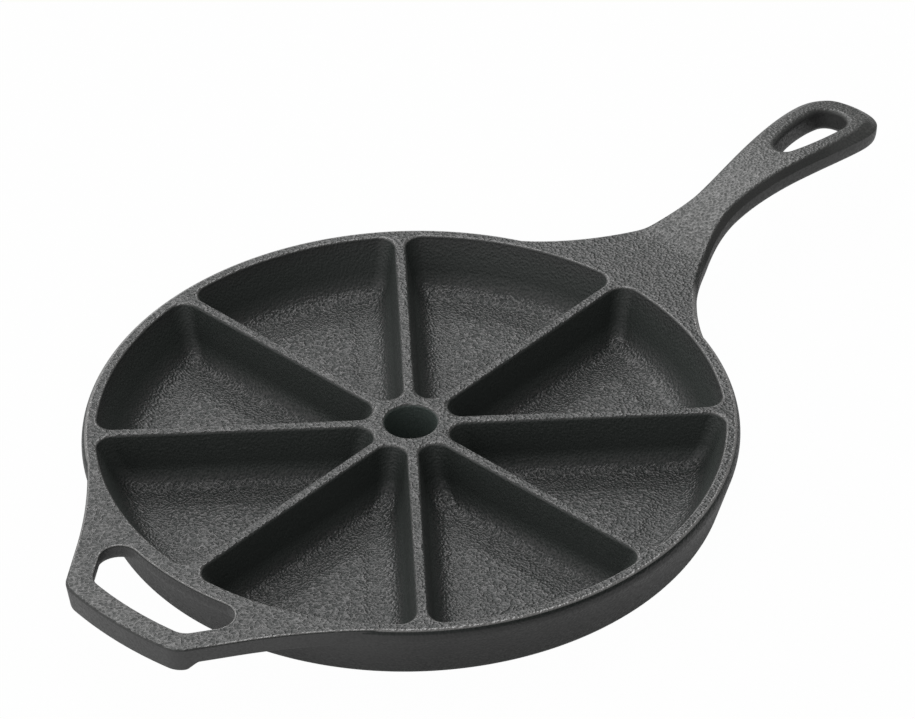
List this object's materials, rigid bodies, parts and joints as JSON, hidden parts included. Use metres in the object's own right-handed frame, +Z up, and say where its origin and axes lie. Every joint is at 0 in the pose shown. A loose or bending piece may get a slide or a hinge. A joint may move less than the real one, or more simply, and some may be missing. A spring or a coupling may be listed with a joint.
{
  "type": "sectioned skillet",
  "caption": "Shallow round cast iron pan divided into wedge cavities around a centre hub, with a long handle that has a hanging hole and a looped assist handle opposite it.",
  "frame": {"origin": "centre of the flat underside, on the surface that the pan stands on", "axes": "+X along the long handle, away from the pan; +Z up; -X towards the assist handle"},
  "size_m": [0.4338, 0.254, 0.0376],
  "materials": {
    "seasoned_iron": "seasoned, with a fine sand-cast grain"
  },
  "bodies": {
    "root": {"pan_floor": "seasoned_iron", "rim_wall": "seasoned_iron", "centre_hub": "seasoned_iron", "divider_1": "seasoned_iron", "divider_2": "seasoned_iron", "divider_3": "seasoned_iron", "divider_4": "seasoned_iron", "divider_5": "seasoned_iron", "divider_6": "seasoned_iron", "divider_7": "seasoned_iron", "divider_8": "seasoned_iron", "long_handle": "seasoned_iron", "assist_handle": "seasoned_iron"}
  },
  "joints": []
}
